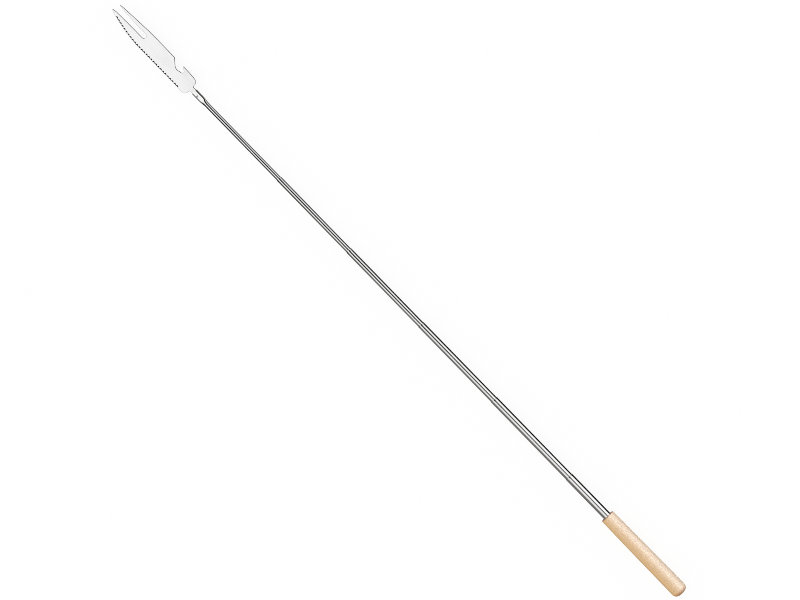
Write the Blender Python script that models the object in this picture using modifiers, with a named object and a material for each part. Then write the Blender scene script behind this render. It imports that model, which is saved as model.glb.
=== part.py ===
"""Telescopic knife-fork: a stamped blade with two tines, a serrated edge and a cap-lifter notch,
carried by six telescoping steel tubes in a turned wooden handle.

Frame: the origin is on the shaft's axis, half way along the drawn-out fork. +X runs along the
shaft towards the tines, +Y across the blade towards its serrated edge, and +Z out of the blade's
flat side. Places along the shaft are given from the handle's front face. The shaft is modelled
fully drawn out. Each moving tube slides back along -X and also turns about X.
"""

import math

import bmesh
import bpy

MM = 0.001

# Handle
HANDLE_LENGTH = 118.8 * MM
HANDLE_FRONT_RADIUS = 8.25 * MM
HANDLE_REAR_RADIUS = 9.2 * MM
HANDLE_DOME_DEPTH = 6.8 * MM
HANDLE_DOME_POWER = 0.8
HANDLE_SWELL_POWER = 0.6
HANDLE_EDGE_ROUND = 0.7 * MM
HANDLE_EDGE_SHARE = 0.25
HANDLE_BORE_CLEARANCE = 0.06 * MM
HANDLE_SEGMENTS = 40
HANDLE_SWELL_STEPS = 6
HANDLE_SWELL_SPREAD = 1.5
HANDLE_DOME_STEPS = 6

# Telescopic tubes, numbered from the thinnest, which carries the blade, to the one in the handle
TUBE_DIAMETER_1 = 5.75 * MM
TUBE_DIAMETER_STEP = 0.8 * MM
TUBE_WALL = 0.2 * MM
TUBE_MOUTH_X = {
    1: 654.35 * MM,
    2: 520.45 * MM,
    3: 409.65 * MM,
    4: 295.45 * MM,
    5: 179.75 * MM,
    6: 60.95 * MM,
}
FIXED_TUBE = 6
MOVING_TUBES = (1, 2, 3, 4, 5)
TUBE_SEGMENTS = 28

# Rolled-in lip at each tube's mouth, which the stop bush inside meets
LIP_LENGTH = 0.9 * MM
LIP_THROAT_LENGTH = 0.55 * MM
LIP_CLEARANCE = 0.05 * MM
LIP_LEAD = (0.1 * MM, 0.12 * MM)
LIP_ROUND = (0.14 * MM, 0.3 * MM)

# Necked-down seat at the rear of each moving tube, which holds the stop bush and the springs
SEAT_LENGTH = 8.0 * MM
SHOULDER_LENGTH = 0.6 * MM
NECK_DEPTH = 0.4 * MM
SHOULDER_INNER_SHIFT = 0.06 * MM
FLARE_LENGTH = 0.5 * MM
FLARE_DEPTH = 0.05 * MM
NECK_FIT = 0.04 * MM
SEAT_GAP = 0.3 * MM
BUSH_LENGTH = 1.4 * MM
BUSH_CHAMFER = 0.15 * MM
RUNNING_CLEARANCE = 0.05 * MM

# Friction springs: two barrel-shaped half shells around each neck
SPRING_THICKNESS = 0.12 * MM
SPRING_CLEARANCE = 0.06 * MM
SPRING_END_LIFT = 0.07 * MM
SPRING_STEPS = 12
SPRING_BARREL_STEPS = 4

# Plug that closes the fixed tube inside the handle
PLUG_FACE_X = -61.15 * MM
PLUG_LENGTH = 6.0 * MM
PLUG_CHAMFER = 0.4 * MM
TUBE_BEYOND_PLUG = 0.4 * MM

# Flattened mouth of the thinnest tube, closed round the blade's tang
FLAT_LENGTH = 11.0 * MM
FLAT_TAPER_LENGTH = 9.4 * MM
FLAT_THICKNESS = 2.6 * MM
FLAT_TAPER_STEPS = 4

# Blade, in its own plane: u runs forward from the blade's base, y towards the serrated edge
BLADE_BASE_X = 659.35 * MM
BLADE_THICKNESS = 1.8 * MM
TANG_LENGTH = 15.0 * MM
TANG_HALF_WIDTH = 2.8 * MM
EDGE_Y = 10.4 * MM
HEEL_RADIUS = 5.5 * MM
HEEL_STEPS = 5
HEEL_STEP = 0.6 * MM
SHOULDER_U = -0.7 * MM

# Tines: tips, the nose that falls to the lower one, and the slot between them
LOWER_TIP = (123.7 * MM, 0.95 * MM)
LOWER_TIP_ROUND = ((123.1 * MM, 1.6 * MM), (121.6 * MM, 2.4 * MM), (118.5 * MM, 3.6 * MM))
UPPER_TIP = (122.6 * MM, -8.5 * MM)
NOSE_START_U = 76.0 * MM
NOSE_LENGTH = 47.7 * MM
NOSE_DROP = 8.1 * MM
NOSE_POWER = 1.65
UPPER_TINE_BACK = ((90.0 * MM, -10.7 * MM), (104.0 * MM, -9.9 * MM), (114.0 * MM, -9.3 * MM))
UPPER_TINE_INSIDE = ((111.6 * MM, -6.9 * MM), (97.2 * MM, -6.4 * MM))
LOWER_TINE_INSIDE = ((100.0 * MM, -0.38 * MM), (119.0 * MM, 0.0 * MM))
SLOT_ROOT_U = 75.0 * MM
SLOT_HALF_WIDTH = 2.95 * MM
SLOT_CENTRE_Y = -3.45 * MM
SLOT_STEPS = 8

# Spine: its rise from the tang, and its level on both sides of the notch
SPINE_RISE = (
    (0.0, -3.8 * MM),
    (0.1 * MM, -6.9 * MM),
    (3.3 * MM, -10.15 * MM),
    (7.7 * MM, -10.85 * MM),
    (14.0 * MM, -11.2 * MM),
)
SPINE_AHEAD = (
    (36.9 * MM, -11.0 * MM),
    (37.6 * MM, -11.35 * MM),
    (62.0 * MM, -11.5 * MM),
    (78.0 * MM, -11.3 * MM),
)

# Cap lifter in the spine: the hook's tip, the pocket under it and the notch's round floor.
# Arcs run between two angles, in degrees from +u towards +y.
HOOK_TIP = (24.2 * MM, -11.35 * MM)
POCKET_CENTRE = (21.3 * MM, -7.2 * MM)
POCKET_RADIUS = 3.0 * MM
POCKET_ARC = (190.0, 75.0)
POCKET_STEPS = 6
NOTCH_CENTRE = (25.8 * MM, -10.4 * MM)
NOTCH_RADIUS = 7.0 * MM
NOTCH_ARC = (112.0, 52.0)
NOTCH_STEPS = 4

# Serrations: round gullets ground into the lower edge
GULLET_COUNT = 28
GULLET_FIRST_U = 113.9 * MM
GULLET_PITCH = 3.737 * MM
GULLET_WIDTH = 2.4 * MM
GULLET_DEPTH = 0.9 * MM
GULLET_STEPS = 4

# Rivet through the flattened tube and the tang
RIVET_X = 648.35 * MM
RIVET_Y = 0.95 * MM
RIVET_RADIUS = 0.8 * MM
RIVET_HEAD_RADIUS = 1.15 * MM
RIVET_HEAD_HEIGHT = 0.28 * MM
RIVET_CROWN = (0.6, 0.3)
RIVET_FIT = 0.05 * MM
RIVET_SEGMENTS = 16

# The handle's front face lies this far behind the origin
FRONT_FACE_BEHIND = (BLADE_BASE_X + LOWER_TIP[0] - HANDLE_LENGTH) / 2

MERGE_DISTANCE = 0.00001


def clear_scene():
    for old in list(bpy.data.objects):
        bpy.data.objects.remove(old, do_unlink=True)


def make_collection(name):
    collection = bpy.data.collections.new(name)
    bpy.context.scene.collection.children.link(collection)
    return collection


def make_material(name, colour, roughness, metallic):
    material = bpy.data.materials.new(name)
    material.use_nodes = True
    shader = material.node_tree.nodes["Principled BSDF"]
    shader.inputs["Base Color"].default_value = (*colour, 1.0)
    shader.inputs["Roughness"].default_value = roughness
    shader.inputs["Metallic"].default_value = metallic
    return material


def make_front_face():
    """An empty on the shaft's axis at the handle's front face."""
    face = bpy.data.objects.new("front_face", None)
    face.location = (-FRONT_FACE_BEHIND, 0.0, 0.0)
    PARTS.objects.link(face)
    return face


def make_shaft_axis():
    """An empty whose local Z runs along the shaft and whose local Y is the world's Y."""
    axis = bpy.data.objects.new("shaft_axis", None)
    axis.parent = FRONT_FACE
    axis.rotation_euler = (0.0, math.pi / 2, 0.0)
    PARTS.objects.link(axis)
    return axis


def add_object(name, mesh, material, collection):
    piece = bpy.data.objects.new(name, mesh)
    mesh.materials.append(material)
    collection.objects.link(piece)
    return piece


def profile_mesh(name, points, closed):
    """An edge loop or chain of (radius, height) points in the XZ plane."""
    shape = bmesh.new()
    corners = [shape.verts.new((radius, 0.0, height)) for radius, height in points]
    for first, second in zip(corners, corners[1:]):
        shape.edges.new((first, second))
    if closed:
        shape.edges.new((corners[-1], corners[0]))
    mesh = bpy.data.meshes.new(name)
    shape.to_mesh(mesh)
    shape.free()
    return mesh


def turned(name, points, material, steps, closed=False, angle=2 * math.pi):
    """A profile turned about local Z. Its points run down the outer side, top to bottom."""
    piece = add_object(name, profile_mesh(name, points, closed), material, PARTS)
    screw = piece.modifiers.new("turn", "SCREW")
    screw.axis = "Z"
    screw.angle = angle
    screw.steps = steps
    screw.render_steps = steps
    screw.use_smooth_shade = True
    screw.use_merge_vertices = True
    screw.merge_threshold = MERGE_DISTANCE
    return piece


def on_shaft(piece, x, turn=0.0):
    """Puts a piece's origin on the shaft's axis at x, turned about the axis."""
    piece.parent = SHAFT_AXIS
    piece.location = (0.0, 0.0, x)
    piece.rotation_euler = (0.0, 0.0, turn)


def in_blade_plane(piece, x, y=0.0):
    """Places a piece in the blade's middle plane, x ahead of the handle's front face."""
    piece.parent = FRONT_FACE
    piece.location = (x, y, 0.0)


def cut(piece, cutter):
    boolean = piece.modifiers.new("cut", "BOOLEAN")
    boolean.operation = "DIFFERENCE"
    boolean.object = cutter


def tube_radius(number):
    return (TUBE_DIAMETER_1 + TUBE_DIAMETER_STEP * (number - 1)) / 2


def extension_overlap():
    """How far a drawn-out tube reaches back into the next: lip, gap, bush front face to tube end."""
    bush_front = SEAT_LENGTH - SHOULDER_LENGTH - SEAT_GAP
    return LIP_LENGTH + SEAT_GAP + bush_front


def tube_rear_x(number):
    if number == FIXED_TUBE:
        return PLUG_FACE_X - PLUG_LENGTH - TUBE_BEYOND_PLUG
    return TUBE_MOUTH_X[number + 1] - extension_overlap()


def lip_points(radius, length):
    """The rolled-in mouth, from its outer side over the front into the throat."""
    bore = radius - TUBE_WALL
    throat = radius - TUBE_DIAMETER_STEP / 2 + LIP_CLEARANCE
    return [
        (bore, length - LIP_LENGTH),
        (throat, length - LIP_THROAT_LENGTH),
        (throat, length - LIP_LEAD[1]),
        (throat + LIP_LEAD[0], length),
        (radius - LIP_ROUND[0], length),
        (radius, length - LIP_ROUND[1]),
    ]


def seat_sections(radius):
    """(height, outer radius, inner radius) from a moving tube's rear end up to its full size."""
    neck = radius - NECK_DEPTH
    flare = radius - FLARE_DEPTH
    shoulder_start = SEAT_LENGTH - SHOULDER_LENGTH
    return [
        (0.0, flare, flare - TUBE_WALL),
        (FLARE_LENGTH, neck, neck - TUBE_WALL),
        (shoulder_start, neck, neck - TUBE_WALL),
        (SEAT_LENGTH, radius, radius - TUBE_WALL),
    ]


def seat_points(radius):
    """The necked seat as a profile: down its outer side, then back up inside."""
    sections = seat_sections(radius)
    outer = [(out, height) for height, out, _ in reversed(sections)]
    inner = [(sections[0][2], 0.0)]
    inner += [(bore, height + SHOULDER_INNER_SHIFT) for height, _, bore in sections[1:]]
    return outer + inner


def moving_tube(number, material):
    """A drawn tube with a rolled-in mouth in front and a necked seat behind."""
    radius = tube_radius(number)
    rear = tube_rear_x(number)
    length = TUBE_MOUTH_X[number] - rear
    points = seat_points(radius) + lip_points(radius, length)
    tube = turned(f"tube_{number}", points, material, TUBE_SEGMENTS, closed=True)
    on_shaft(tube, rear)


def fixed_tube(material):
    """The outermost tube, plain at its rear end, held in the handle."""
    radius = tube_radius(FIXED_TUBE)
    rear = tube_rear_x(FIXED_TUBE)
    length = TUBE_MOUTH_X[FIXED_TUBE] - rear
    points = [(radius, 0.0), (radius - TUBE_WALL, 0.0)] + lip_points(radius, length)
    tube = turned(f"tube_{FIXED_TUBE}", points, material, TUBE_SEGMENTS, closed=True)
    on_shaft(tube, rear)


def stadium(angle, half_width, half_height):
    """A point on a flat-sided oval, wide along Y."""
    straight = math.copysign(half_width - half_height, math.sin(angle))
    return half_height * math.cos(angle), half_height * math.sin(angle) + straight


def blended_ring(shape, height, radius, half_width, half_height, flatness):
    """A ring of points part way between a circle and a flat-sided oval."""
    ring = []
    for step in range(TUBE_SEGMENTS):
        angle = 2 * math.pi * (step + 0.5) / TUBE_SEGMENTS
        oval_x, oval_y = stadium(angle, half_width, half_height)
        x = radius * math.cos(angle) * (1 - flatness) + oval_x * flatness
        y = radius * math.sin(angle) * (1 - flatness) + oval_y * flatness
        ring.append(shape.verts.new((x, y, height)))
    return ring


def flat_half_width(half_thickness, wall_offset):
    """Half the flattened mouth's width, from the tube's girth half way through its wall."""
    middle = tube_radius(1) - TUBE_WALL / 2
    middle_thickness = half_thickness - TUBE_WALL / 2
    straight = math.pi * (middle - middle_thickness) / 2
    return straight + middle_thickness + wall_offset


def flattened_sections(length):
    """(height, outer radius, inner radius, flatness) from the rear end to the flattened mouth."""
    radius = tube_radius(1)
    sections = [(height, out, bore, 0.0) for height, out, bore in seat_sections(radius)]
    taper_start = length - FLAT_LENGTH - FLAT_TAPER_LENGTH
    for step in range(FLAT_TAPER_STEPS + 1):
        share = step / FLAT_TAPER_STEPS
        flatness = share * share * (3 - 2 * share)
        height = taper_start + FLAT_TAPER_LENGTH * share
        sections.append((height, radius, radius - TUBE_WALL, flatness))
    sections.append((length, radius, radius - TUBE_WALL, 1.0))
    return sections


def flattened_tube(material):
    """The thinnest tube: necked seat behind, round shaft, and a mouth pressed flat on the tang."""
    rear = tube_rear_x(1)
    sections = flattened_sections(TUBE_MOUTH_X[1] - rear)
    half_thickness = FLAT_THICKNESS / 2
    inner_half_thickness = half_thickness - TUBE_WALL
    outer_half_width = flat_half_width(half_thickness, TUBE_WALL / 2)
    inner_half_width = flat_half_width(half_thickness, -TUBE_WALL / 2)
    shape = bmesh.new()
    outer = []
    inner = []
    for height, out, bore, flatness in sections:
        ring = blended_ring(shape, height, out, outer_half_width, half_thickness, flatness)
        outer.append(ring)
        lift = SHOULDER_INNER_SHIFT if 0.0 < height <= SEAT_LENGTH else 0.0
        ring = blended_ring(
            shape, height + lift, bore, inner_half_width, inner_half_thickness, flatness
        )
        inner.append(ring)
    rings = outer + inner[::-1]
    for lower, upper in zip(rings, rings[1:] + rings[:1]):
        for step in range(TUBE_SEGMENTS):
            after = (step + 1) % TUBE_SEGMENTS
            shape.faces.new((lower[step], lower[after], upper[after], upper[step]))
    bmesh.ops.recalc_face_normals(shape, faces=shape.faces)
    mesh = bpy.data.meshes.new("tube_1")
    shape.to_mesh(mesh)
    shape.free()
    mesh.shade_smooth()
    tube = add_object("tube_1", mesh, material, PARTS)
    on_shaft(tube, rear)
    return tube


def stop_bush(number, material):
    """A brass ring on a moving tube's neck, too wide for the lip in front of it."""
    radius = tube_radius(number)
    inside = radius - NECK_DEPTH + NECK_FIT
    outside = radius + TUBE_WALL - RUNNING_CLEARANCE
    top = SEAT_LENGTH - SHOULDER_LENGTH - SEAT_GAP
    bottom = top - BUSH_LENGTH
    points = [
        (inside, top),
        (outside - BUSH_CHAMFER, top),
        (outside, top - BUSH_CHAMFER),
        (outside, bottom),
        (inside, bottom),
    ]
    bush = turned(f"stop_bush_{number}", points, material, TUBE_SEGMENTS, closed=True)
    on_shaft(bush, tube_rear_x(number))


def friction_spring(number, side, turn, material):
    """One of two bowed half shells round a neck, which press on the next tube's bore."""
    radius = tube_radius(number)
    bottom = FLARE_LENGTH + SEAT_GAP
    top = SEAT_LENGTH - SHOULDER_LENGTH - BUSH_LENGTH - 2 * SEAT_GAP
    ends = radius - NECK_DEPTH + SPRING_END_LIFT + SPRING_THICKNESS
    crown = radius + TUBE_WALL - SPRING_CLEARANCE
    points = []
    for step in range(SPRING_BARREL_STEPS + 1):
        share = 1 - step / SPRING_BARREL_STEPS
        bow = math.sin(math.pi * share)
        points.append((ends + (crown - ends) * bow, bottom + (top - bottom) * share))
    pitch = 2 * math.pi / TUBE_SEGMENTS
    name = f"friction_spring_{number}_{side}"
    spring = turned(name, points, material, SPRING_STEPS, angle=pitch * SPRING_STEPS)
    shell = spring.modifiers.new("thickness", "SOLIDIFY")
    shell.thickness = SPRING_THICKNESS
    shell.offset = -1.0
    on_shaft(spring, tube_rear_x(number), turn)


def tube_end_plug(material):
    """A turned plug in the fixed tube's rear end, which tube_5 stops on when pushed in."""
    radius = tube_radius(FIXED_TUBE) - TUBE_WALL - NECK_FIT
    points = [
        (0.0, PLUG_LENGTH),
        (radius - PLUG_CHAMFER, PLUG_LENGTH),
        (radius, PLUG_LENGTH - PLUG_CHAMFER),
        (radius, 0.0),
        (0.0, 0.0),
    ]
    plug = turned("tube_end_plug", points, material, TUBE_SEGMENTS)
    on_shaft(plug, PLUG_FACE_X - PLUG_LENGTH)


def handle_radius(distance):
    """The handle's radius at a distance behind its front face, ahead of the dome."""
    share = distance / (HANDLE_LENGTH - HANDLE_DOME_DEPTH)
    swell = HANDLE_REAR_RADIUS - HANDLE_FRONT_RADIUS
    return HANDLE_FRONT_RADIUS + swell * share**HANDLE_SWELL_POWER


def handle_points():
    """The handle's profile: up the blind bore, out over the front face, down to the dome."""
    bore = tube_radius(FIXED_TUBE) + HANDLE_BORE_CLEARANCE
    bore_bottom = tube_rear_x(FIXED_TUBE) - SEAT_GAP
    points = [(0.0, bore_bottom), (bore, bore_bottom), (bore, 0.0)]
    points.append((HANDLE_FRONT_RADIUS - HANDLE_EDGE_ROUND, 0.0))
    corner = HANDLE_EDGE_SHARE * HANDLE_EDGE_ROUND
    points.append((HANDLE_FRONT_RADIUS - corner, -corner))
    straight = HANDLE_LENGTH - HANDLE_DOME_DEPTH
    for step in range(HANDLE_SWELL_STEPS + 1):
        share = (step / HANDLE_SWELL_STEPS) ** HANDLE_SWELL_SPREAD
        distance = HANDLE_EDGE_ROUND + (straight - HANDLE_EDGE_ROUND) * share
        points.append((handle_radius(distance), -distance))
    for step in range(1, HANDLE_DOME_STEPS):
        angle = math.pi / 2 * step / HANDLE_DOME_STEPS
        drop = straight + HANDLE_DOME_DEPTH * math.sin(angle) ** HANDLE_DOME_POWER
        points.append((HANDLE_REAR_RADIUS * math.cos(angle) ** HANDLE_DOME_POWER, -drop))
    points.append((0.0, -HANDLE_LENGTH))
    return points


def handle(material):
    on_shaft(turned("handle", handle_points(), material, HANDLE_SEGMENTS), 0.0)


def nose_y(u):
    """The lower edge's line along the tooth tips: straight, then falling away in the nose."""
    if u <= NOSE_START_U:
        return EDGE_Y
    share = (u - NOSE_START_U) / NOSE_LENGTH
    return EDGE_Y - NOSE_DROP * share**NOSE_POWER


def gullet(u):
    """A round gullet in the lower edge, centred at u, from its front end to its rear end."""
    half = GULLET_WIDTH / 2
    slope = (nose_y(u + half) - nose_y(u - half)) / GULLET_WIDTH
    length = math.hypot(1.0, slope)
    along = (1.0 / length, slope / length)
    inward = (along[1], -along[0])
    radius = (half * half + GULLET_DEPTH * GULLET_DEPTH) / (2 * GULLET_DEPTH)
    reach = math.asin(half / radius)
    points = []
    for step in range(GULLET_STEPS + 1):
        angle = reach * (1 - 2 * step / GULLET_STEPS)
        side = radius * math.sin(angle)
        depth = radius * math.cos(angle) - (radius - GULLET_DEPTH)
        x = u + along[0] * side + inward[0] * depth
        y = nose_y(u) + along[1] * side + inward[1] * depth
        points.append((x, y))
    return points


def serrated_edge():
    """The lower edge from the tine's rounded tip back to the heel."""
    points = list(LOWER_TIP_ROUND)
    for number in range(GULLET_COUNT):
        points += gullet(GULLET_FIRST_U - number * GULLET_PITCH)
    return points


def arc(centre, radius, start, end, steps):
    """Points on an arc, with angles in degrees from +u towards +y."""
    points = []
    for step in range(steps + 1):
        angle = math.radians(start + (end - start) * step / steps)
        u = centre[0] + radius * math.cos(angle)
        y = centre[1] + radius * math.sin(angle)
        points.append((u, y))
    return points


def cap_lifter():
    """The hook and the notch in the spine, from the rear forward."""
    points = [HOOK_TIP]
    points += arc(POCKET_CENTRE, POCKET_RADIUS, *POCKET_ARC, POCKET_STEPS)
    points += arc(NOTCH_CENTRE, NOTCH_RADIUS, *NOTCH_ARC, NOTCH_STEPS)
    return points


def blade_outline():
    """The blade's outline in (u, y), from the tang along the spine and back along the edge."""
    slot_centre = (SLOT_ROOT_U + SLOT_HALF_WIDTH, SLOT_CENTRE_Y)
    heel_centre = (HEEL_RADIUS, EDGE_Y - HEEL_RADIUS)
    points = [(-TANG_LENGTH, -TANG_HALF_WIDTH), (SHOULDER_U, -TANG_HALF_WIDTH)]
    points += SPINE_RISE
    points += cap_lifter()
    points += SPINE_AHEAD
    points += UPPER_TINE_BACK
    points.append(UPPER_TIP)
    points += UPPER_TINE_INSIDE
    points += arc(slot_centre, SLOT_HALF_WIDTH, 270.0, 90.0, SLOT_STEPS)
    points += LOWER_TINE_INSIDE
    points.append(LOWER_TIP)
    points += serrated_edge()
    points += arc(heel_centre, HEEL_RADIUS, 90.0, 180.0, HEEL_STEPS)
    points += [(0.0, TANG_HALF_WIDTH + HEEL_STEP), (SHOULDER_U, TANG_HALF_WIDTH)]
    points.append((-TANG_LENGTH, TANG_HALF_WIDTH))
    return points


def flat_outline(name, points, thickness):
    """A flat sheet from an outline, as a closed mesh."""
    curve = bpy.data.curves.new(name, "CURVE")
    curve.dimensions = "2D"
    curve.fill_mode = "BOTH"
    curve.extrude = thickness / 2
    spline = curve.splines.new("POLY")
    spline.points.add(len(points) - 1)
    for point, (x, y) in zip(spline.points, points):
        point.co = (x, y, 0.0, 1.0)
    spline.use_cyclic_u = True
    sheet = bpy.data.objects.new(name, curve)
    PARTS.objects.link(sheet)
    bpy.context.view_layer.update()
    evaluated = sheet.evaluated_get(bpy.context.evaluated_depsgraph_get())
    mesh = bpy.data.meshes.new_from_object(evaluated)
    bpy.data.objects.remove(sheet, do_unlink=True)
    shape = bmesh.new()
    shape.from_mesh(mesh)
    bmesh.ops.remove_doubles(shape, verts=shape.verts, dist=MERGE_DISTANCE)
    bmesh.ops.recalc_face_normals(shape, faces=shape.faces)
    shape.to_mesh(mesh)
    shape.free()
    return mesh


def blade(material):
    mesh = flat_outline("blade", blade_outline(), BLADE_THICKNESS)
    sheet = add_object("blade", mesh, material, PARTS)
    in_blade_plane(sheet, BLADE_BASE_X)
    return sheet


def tang_rivet(material):
    """A small rivet with a low head on each side of the flattened tube."""
    reach = FLAT_THICKNESS / 2 + RIVET_FIT
    top = reach + RIVET_HEAD_HEIGHT
    points = [
        (0.0, top),
        (RIVET_CROWN[0] * RIVET_HEAD_RADIUS, top),
        (RIVET_HEAD_RADIUS, reach + RIVET_CROWN[1] * RIVET_HEAD_HEIGHT),
        (RIVET_HEAD_RADIUS, reach),
        (RIVET_RADIUS, reach),
    ]
    points += [(radius, -height) for radius, height in reversed(points)]
    rivet = turned("tang_rivet", points, material, RIVET_SEGMENTS)
    in_blade_plane(rivet, RIVET_X, RIVET_Y)


def rivet_hole_cutter():
    shape = bmesh.new()
    bmesh.ops.create_cone(
        shape,
        cap_ends=True,
        segments=RIVET_SEGMENTS,
        radius1=RIVET_RADIUS + RIVET_FIT,
        radius2=RIVET_RADIUS + RIVET_FIT,
        depth=3 * FLAT_THICKNESS,
    )
    mesh = bpy.data.meshes.new("rivet_hole_cutter")
    shape.to_mesh(mesh)
    shape.free()
    cutter = bpy.data.objects.new("rivet_hole_cutter", mesh)
    CUTTERS.objects.link(cutter)
    in_blade_plane(cutter, RIVET_X, RIVET_Y)
    cutter.hide_render = True
    cutter.display_type = "WIRE"
    return cutter


def build():
    steel = make_material("polished_steel", (0.78, 0.79, 0.8), 0.12, 1.0)
    blade_steel = make_material("satin_steel", (0.8, 0.81, 0.82), 0.3, 1.0)
    brass = make_material("brass", (0.78, 0.6, 0.3), 0.3, 1.0)
    spring_steel = make_material("spring_steel", (0.55, 0.55, 0.56), 0.35, 1.0)
    rivet_steel = make_material("rivet_steel", (0.45, 0.4, 0.38), 0.4, 1.0)
    beech = make_material("beech", (0.82, 0.65, 0.44), 0.5, 0.0)
    handle(beech)
    tube_end_plug(brass)
    fixed_tube(steel)
    for number in MOVING_TUBES:
        if number != 1:
            moving_tube(number, steel)
        stop_bush(number, brass)
        friction_spring(number, "a", 0.0, spring_steel)
        friction_spring(number, "b", math.pi, spring_steel)
    cutter = rivet_hole_cutter()
    cut(flattened_tube(steel), cutter)
    cut(blade(blade_steel), cutter)
    tang_rivet(rivet_steel)


clear_scene()
PARTS = make_collection("telescopic_knife_fork")
CUTTERS = make_collection("cutters")
FRONT_FACE = make_front_face()
SHAFT_AXIS = make_shaft_axis()
build()
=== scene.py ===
"""Looks for a telescopic knife-fork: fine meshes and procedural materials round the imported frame."""

import math

import bmesh
import bpy
from mathutils import Matrix, Vector, noise


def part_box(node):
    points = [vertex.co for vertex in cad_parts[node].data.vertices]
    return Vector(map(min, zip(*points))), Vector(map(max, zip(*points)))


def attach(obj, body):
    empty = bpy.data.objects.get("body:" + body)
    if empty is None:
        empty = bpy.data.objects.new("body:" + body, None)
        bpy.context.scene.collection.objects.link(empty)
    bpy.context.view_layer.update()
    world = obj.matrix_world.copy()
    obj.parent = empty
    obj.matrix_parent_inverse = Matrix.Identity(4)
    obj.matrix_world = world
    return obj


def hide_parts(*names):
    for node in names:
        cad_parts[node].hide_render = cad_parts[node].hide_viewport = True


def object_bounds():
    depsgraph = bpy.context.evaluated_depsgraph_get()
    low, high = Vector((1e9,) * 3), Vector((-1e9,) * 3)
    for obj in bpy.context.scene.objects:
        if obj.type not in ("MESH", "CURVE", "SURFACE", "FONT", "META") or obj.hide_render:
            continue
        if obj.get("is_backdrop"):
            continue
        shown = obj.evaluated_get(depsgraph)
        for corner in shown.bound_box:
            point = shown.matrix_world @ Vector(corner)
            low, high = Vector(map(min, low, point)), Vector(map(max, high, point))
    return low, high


MM = 0.001

# Camera: nearly square on to the blade, a little from the notch side, with the shaft across the picture
VIEW_TILT = math.radians(16.0)
VIEW_ROLL = math.radians(225.784)
VIEW_WIDTH = 884.0 * MM
VIEW_DISTANCE = 2.95
VIEW_AHEAD = -1.125 * MM
VIEW_ASIDE = -2.5 * MM
SENSOR_WIDTH = 36.0

# Fineness of the meshes
TUBE_SEGMENTS = 120
TUBE_RINGS = 24
HANDLE_SEGMENTS = 160
HANDLE_RINGS = 110
DOME_RINGS = 28
FINE_STEPS = 8
RIVET_SEGMENTS = 48
CUTTER_SEGMENTS = 40
SHARP_ANGLE = math.radians(38.0)
BLADE_SHARP_ANGLE = math.radians(24.0)

# Tubes
TUBE_WALL = 0.2 * MM
TUBE_STEP = 0.4 * MM
LIP_LENGTH = 0.9 * MM
LIP_CLEARANCE = 0.05 * MM
LIP_BEND_AT = 0.72
LIP_BEND_SHARE = 0.3
LIP_THROAT_AT = 0.6
PLAIN_FROM_MOUTH = 3.0 * MM
PLAIN_FROM_SEAT = 1.0 * MM
SEAT_LENGTH = 8.0 * MM
SHOULDER_LENGTH = 0.6 * MM
NECK_DEPTH = 0.4 * MM
FLARE_LENGTH = 0.5 * MM
FLARE_DEPTH = 0.05 * MM
FLARE_BEND_AT = 0.3
FLARE_ROUND = 0.04 * MM
INNER_SHIFT = 0.06 * MM
FLAT_LENGTH = 11.0 * MM
FLAT_TAPER_LENGTH = 9.4 * MM
PRESS_HALF_HEIGHT = 1.3 * MM
PRESS_HALF_WIDTH = 3.62 * MM
PRESS_FLAT = 2.15 * MM
PRESS_SIDE = 0.22 * MM
PRESS_SLOPE = math.radians(17.0)
PRESS_EASE = 0.3 * MM
PRESS_START = 0.85
RIM_LENGTH = 0.35 * MM
RIM_ROUND = ((0.12 * MM, 0.01 * MM), (0.0, 0.07 * MM))

# Pieces inside the tubes
NECK_FIT = 0.04 * MM
BUSH_ROUND = 0.15 * MM
SPRING_THICKNESS = 0.12 * MM
SPRING_END_LIFT = 0.19 * MM
SPRING_CROWN_GAP = 0.07 * MM
SPRING_REACH = math.radians(77.0)
PLUG_ROUND = 0.4 * MM

# Handle
DOME_DEPTH = 6.8 * MM
DOME_POWER = 0.8
FRONT_RADIUS = 8.25 * MM
SWELL_POWER = 0.6
SWELL_SPREAD = 1.3
EDGE_ROUND = 0.7 * MM
EDGE_TURN = 80.0
EDGE_REACH = 1.4
BORE_CLEARANCE = 0.06 * MM
BORE_END_GAP = 0.3 * MM
BORE_INSET = 1.0 * MM
BORE_MOUTH = (0.25 * MM, 0.2 * MM)
FACE_SHARES = (0.2, 0.9)
FACE_RINGS = 6
HAND_SANDING = 0.05 * MM
SANDING_PER_METRE = 60.0
SANDING_ROUND = 1.1

# Blade, in its own plane: u runs forward from the blade's base, y towards the serrated edge
TANG_LENGTH = 15.0 * MM
TANG_HALF_WIDTH = 2.8 * MM
TANG_ROOT_U = -1.2 * MM
SHOULDER = (
    (-0.5 * MM, -3.1 * MM),
    (0.0, -3.9 * MM),
    (0.1 * MM, -6.9 * MM),
    (2.9 * MM, -9.85 * MM),
    (4.3 * MM, -10.45 * MM),
)
SPINE_BEHIND = ((7.7 * MM, -10.85 * MM), (14.0 * MM, -11.2 * MM))
SPINE_AHEAD = (
    (36.9 * MM, -11.0 * MM),
    (37.6 * MM, -11.35 * MM),
    (62.0 * MM, -11.5 * MM),
    (78.0 * MM, -11.3 * MM),
)
UPPER_TINE_BACK = ((90.0 * MM, -10.7 * MM), (104.0 * MM, -9.9 * MM), (114.0 * MM, -9.3 * MM))
UPPER_TIP = (122.6 * MM, -8.5 * MM)
UPPER_TINE_INSIDE = ((111.6 * MM, -6.9 * MM), (97.2 * MM, -6.4 * MM))
LOWER_TINE_INSIDE = ((100.0 * MM, -0.38 * MM), (119.0 * MM, 0.0))
LOWER_TIP = (123.7 * MM, 0.95 * MM)
LOWER_TIP_ROUND = ((123.1 * MM, 1.6 * MM), (121.6 * MM, 2.4 * MM), (119.8 * MM, 3.2 * MM))
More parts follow.
